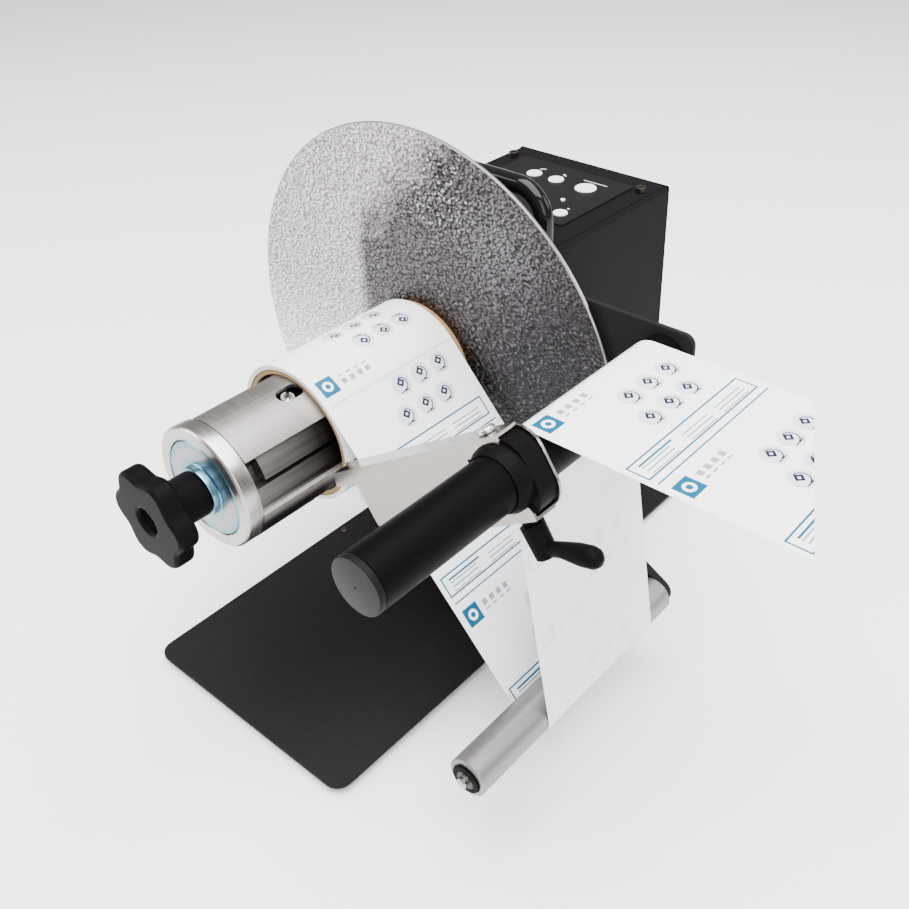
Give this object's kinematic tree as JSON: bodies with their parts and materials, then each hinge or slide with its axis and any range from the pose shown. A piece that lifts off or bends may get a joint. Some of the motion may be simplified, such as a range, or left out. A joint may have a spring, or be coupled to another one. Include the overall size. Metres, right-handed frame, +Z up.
{
  "type": "label rewinder",
  "caption": "Bench label rewinder: powered spindle with an expanding core chuck and winding flange, sprung dancer arm, guide tube and cabinet with push buttons.",
  "frame": {"origin": "on the bench under the rubber feet, in the middle of the machine's box seen from above", "axes": "+X to the right along the face plate, +Y from the front to the back along the spindle, +Z up"},
  "size_m": [0.4684, 0.4036, 0.3208],
  "materials": {
    "powder_black": "fine black powder coat, satin",
    "gloss_black": "glossy black",
    "moulded_black": "moulded black plastic, fine grain",
    "button_white": "white moulded plastic",
    "aluminium": "turned or embossed aluminium",
    "steel": "bright turned steel",
    "stainless": "bright stainless sheet",
    "zinc": "blue zinc plating",
    "rubber": "matt black rubber",
    "cardboard": "wound brown board",
    "label_paper": "printed label paper on a translucent liner",
    "circuit_board": "green solder mask"
  },
  "bodies": {
    "frame": {"base_plate": "powder_black", "foot_front_left": "rubber", "foot_front_right": "rubber", "foot_rear_left": "rubber", "foot_rear_right": "rubber", "face_plate": "powder_black", "cabinet_cover": "powder_black", "rail_left": "steel", "rail_right": "steel", "back_panel": "powder_black", "carry_handle": "gloss_black", "control_panel": "gloss_black", "status_lamp": "button_white", "control_board": "circuit_board", "bearing_housing": "aluminium", "bearing_front": "steel", "bearing_rear": "steel", "motor_bracket": "steel", "gear_motor": "steel", "drive_belt": "rubber", "guide_tube": "powder_black", "tube_end_cap": "steel", "tube_bolt": "steel", "arm_pivot_bolt": "steel", "pivot_spacer": "steel", "stop_pin_lower": "steel", "stop_pin_upper": "steel", "arm_spring": "steel", "power_inlet": "moulded_black", "switch_housing": "moulded_black", "web_loop": "label_paper", "web_outgoing": "label_paper"},
    "spindle": {"spindle_shaft": "steel", "winding_flange": "aluminium", "flange_hub": "steel", "driven_pulley": "aluminium", "chuck_body": "aluminium", "cardboard_core": "cardboard", "label_roll": "label_paper"},
    "jaw_one": {"jaw_1": "aluminium"},
    "jaw_two": {"jaw_2": "aluminium"},
    "jaw_three": {"jaw_3": "aluminium"},
    "clamp_head": {"end_collar": "aluminium", "pressure_washer": "zinc"},
    "knob": {"star_knob": "moulded_black"},
    "motor_drive": {"motor_shaft": "steel", "drive_pulley": "aluminium"},
    "arm": {"tension_arm": "powder_black", "roller_shaft": "steel", "roller_clip": "moulded_black"},
    "roller": {"dancer_roller": "aluminium"},
    "guide": {"guide_bracket": "stainless", "clamp_block": "moulded_black", "bracket_screw": "steel"},
    "lever": {"clamp_lever": "moulded_black"},
    "forward_button": {"button_forward": "button_white"},
    "reverse_button": {"button_reverse": "button_white"},
    "start_button": {"button_start": "button_white"},
    "power_button": {"button_power": "button_white"},
    "rocker": {"power_rocker": "moulded_black"}
  },
  "joints": [
    {"name": "spindle_spin", "type": "hinge", "parent": "frame", "child": "spindle", "pos_m": [-0.08175, 0.0158, 0.1683], "axis": [0, 1, 0], "continuous": true},
    {"name": "motor_spin", "type": "hinge", "parent": "frame", "child": "motor_drive", "pos_m": [-0.08175, 0.0158, 0.0933], "axis": [0, 1, 0], "continuous": true},
    {"name": "clamp_head_slide", "type": "slide", "parent": "spindle", "child": "clamp_head", "axis": [0, -1, 0], "range_m": [0, 0.005]},
    {"name": "knob_turn", "type": "hinge", "parent": "clamp_head", "child": "knob", "pos_m": [-0.08175, -0.1742, 0.1683], "axis": [0, -1, 0], "range_deg": [0, 360]},
    {"name": "jaw_one_slide", "type": "slide", "parent": "spindle", "child": "jaw_one", "axis": [-0.0508, -0.9806, -0.1894], "range_m": [0, 0.0051]},
    {"name": "jaw_two_slide", "type": "slide", "parent": "spindle", "child": "jaw_two", "axis": [0.1894, -0.9806, 0.0508], "range_m": [0, 0.0051]},
    {"name": "jaw_three_slide", "type": "slide", "parent": "spindle", "child": "jaw_three", "axis": [-0.1387, -0.9806, 0.1387], "range_m": [0, 0.0051]},
    {"name": "tension_arm_swing", "type": "hinge", "parent": "frame", "child": "arm", "pos_m": [-0.00375, 0.0358, 0.1083], "axis": [0, -1, 0], "range_deg": [0, 45], "stiffness_Nm_per_rad": 0.3, "springref_deg": -28.65, "deforming": ["arm_spring", "web_loop"]},
    {"name": "roller_spin", "type": "hinge", "parent": "arm", "child": "roller", "pos_m": [0.09465, 0.0158, 0.0525], "axis": [0, 1, 0], "continuous": true},
    {"name": "guide_slide", "type": "slide", "parent": "frame", "child": "guide", "axis": [0, -1, 0], "range_m": [0, 0.08]},
    {"name": "lever_turn", "type": "hinge", "parent": "guide", "child": "lever", "pos_m": [0.10557, -0.1042, 0.2068], "axis": [0.5461, 0, -0.8377], "range_deg": [0, 150]},
    {"name": "forward_button_press", "type": "slide", "parent": "frame", "child": "forward_button", "axis": [0, 0, -1], "range_m": [0, 0.0006], "stiffness_N_per_m": 400, "springref_m": -0.001},
    {"name": "reverse_button_press", "type": "slide", "parent": "frame", "child": "reverse_button", "axis": [0, 0, -1], "range_m": [0, 0.0006], "stiffness_N_per_m": 400, "springref_m": -0.001},
    {"name": "start_button_press", "type": "slide", "parent": "frame", "child": "start_button", "axis": [0, 0, -1], "range_m": [0, 0.0006], "stiffness_N_per_m": 400, "springref_m": -0.001},
    {"name": "power_button_press", "type": "slide", "parent": "frame", "child": "power_button", "axis": [0, 0, -1], "range_m": [0, 0.0006], "stiffness_N_per_m": 400, "springref_m": -0.001},
    {"name": "rocker_tilt", "type": "hinge", "parent": "frame", "child": "rocker", "pos_m": [-0.10175, 0.1979, 0.0453], "axis": [1, 0, 0], "range_deg": [0, 16]}
  ],
  "couplings": [
    {"joint": "motor_spin", "follows": "spindle_spin", "ratio": 2.3534},
    {"joint": "knob_turn", "follows": "clamp_head_slide", "rad_per_m": 1256.6},
    {"joint": "jaw_one_slide", "follows": "clamp_head_slide", "ratio": 1.0198},
    {"joint": "jaw_two_slide", "follows": "clamp_head_slide", "ratio": 1.0198},
    {"joint": "jaw_three_slide", "follows": "clamp_head_slide", "ratio": 1.0198}
  ]
}
